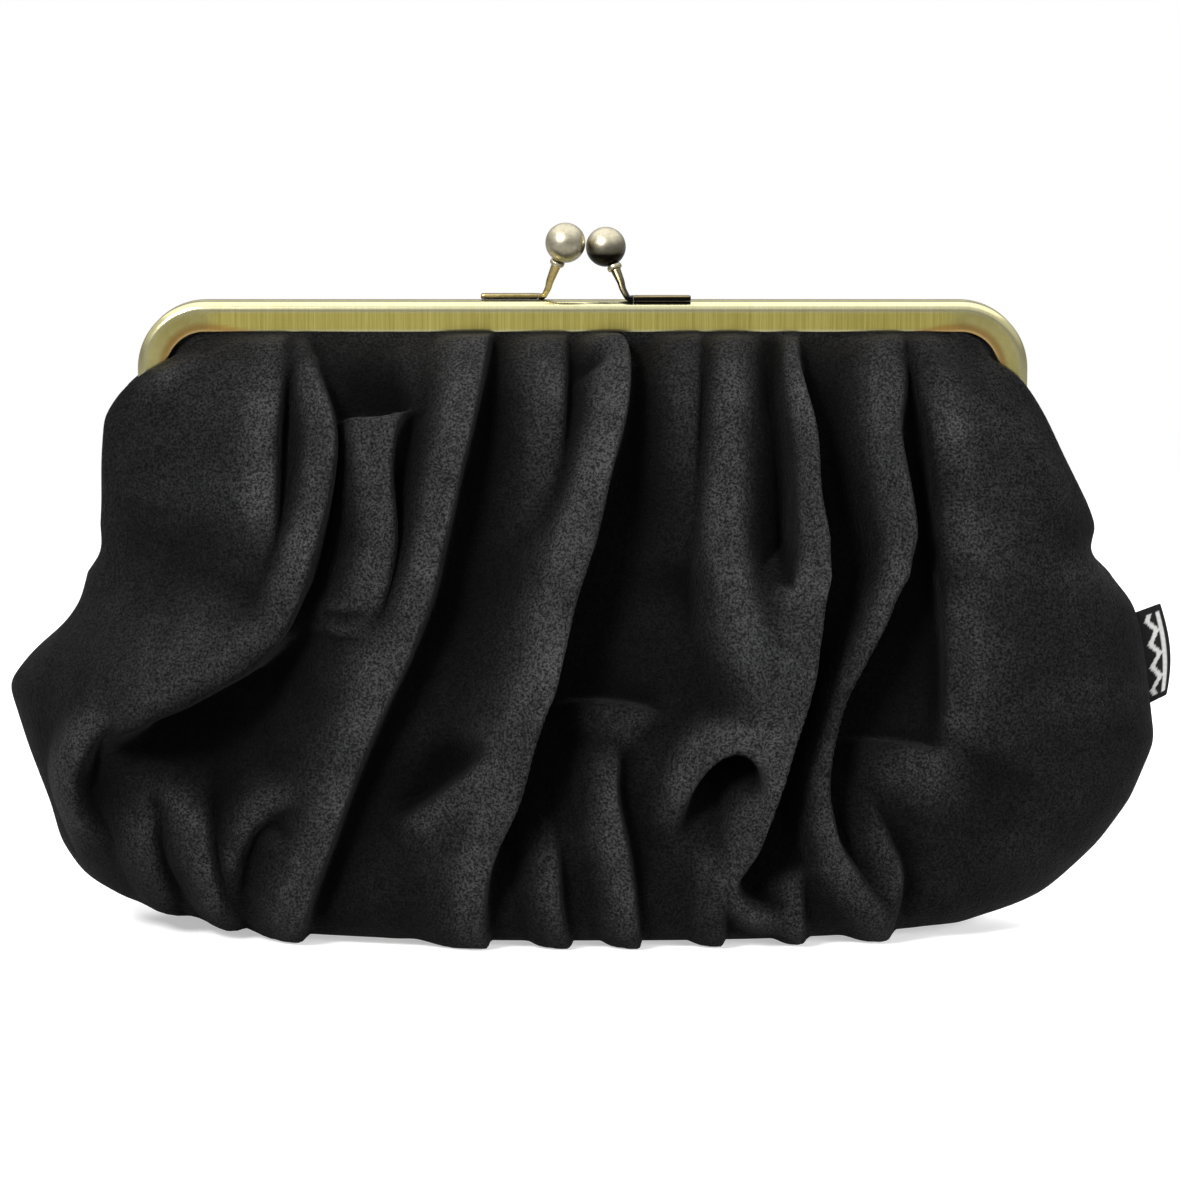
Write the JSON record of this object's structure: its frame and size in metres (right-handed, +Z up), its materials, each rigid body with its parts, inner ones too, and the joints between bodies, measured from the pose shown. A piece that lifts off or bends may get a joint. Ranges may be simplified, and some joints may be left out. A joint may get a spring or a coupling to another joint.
{
  "type": "clutch purse",
  "caption": "Soft pleated clutch purse on a brass kiss-lock frame, with two hinged frame halves, a ball latch, padding, lining and a side label.",
  "frame": {"origin": "on the underside of the body, below the middle of the frame", "axes": "+X along the frame's width towards the label, +Y from the front to the back, +Z up"},
  "size_m": [0.2672, 0.0662, 0.165],
  "materials": {
    "frame_brass": "brushed antique brass",
    "rivet_brass": "satin antique brass",
    "latch_brass": "satin antique brass",
    "ball_brass": "polished, slightly tarnished",
    "paper_cord": "twisted kraft paper",
    "outer_cloth": "short-pile black velvet",
    "interlining": "matt charcoal fleece wadding",
    "lining": "plain satin-weave lining",
    "label_tape": "woven tape"
  },
  "bodies": {
    "bag": {"outer_front_lower": "outer_cloth", "outer_back_lower": "outer_cloth", "interlining_front_lower": "interlining", "interlining_back_lower": "interlining", "lining_front_lower": "lining", "lining_back_lower": "lining", "side_label": "label_tape", "left_hinge_rivet": "rivet_brass", "right_hinge_rivet": "rivet_brass"},
    "front_half": {"front_frame": "frame_brass", "front_paper_cord": "paper_cord", "front_latch_foot": "latch_brass", "outer_front_top": "outer_cloth", "interlining_front_top": "interlining", "lining_front_top": "lining"},
    "back_half": {"back_frame": "frame_brass", "back_paper_cord": "paper_cord", "back_latch_foot": "latch_brass", "outer_back_top": "outer_cloth", "interlining_back_top": "interlining", "lining_back_top": "lining"},
    "front_post": {"front_latch_post": "latch_brass", "front_latch_collar": "latch_brass", "front_latch_ball": "ball_brass"},
    "back_post": {"back_latch_post": "latch_brass", "back_latch_collar": "latch_brass", "back_latch_ball": "ball_brass"}
  },
  "joints": [
    {"name": "front_half_open", "type": "hinge", "parent": "bag", "child": "front_half", "pos_m": [0, 0, 0.09], "axis": [1, 0, 0], "range_deg": [0, 48], "deforming": ["outer_front_top", "interlining_front_top", "lining_front_top"]},
    {"name": "back_half_open", "type": "hinge", "parent": "bag", "child": "back_half", "pos_m": [0, 0, 0.09], "axis": [1, 0, 0], "range_deg": [-48, 0], "deforming": ["outer_back_top", "interlining_back_top", "lining_back_top"]},
    {"name": "front_post_flex", "type": "hinge", "parent": "front_half", "child": "front_post", "pos_m": [0.01165, -0.0024, 0.14775], "axis": [0, 1, 0], "range_deg": [0, 4], "stiffness_Nm_per_rad": 0.3},
    {"name": "back_post_flex", "type": "hinge", "parent": "back_half", "child": "back_post", "pos_m": [-0.01025, 0.0024, 0.14775], "axis": [0, 1, 0], "range_deg": [-4, 0], "stiffness_Nm_per_rad": 0.3}
  ],
  "couplings": [
    {"joint": "back_half_open", "follows": "front_half_open", "ratio": -1}
  ]
}
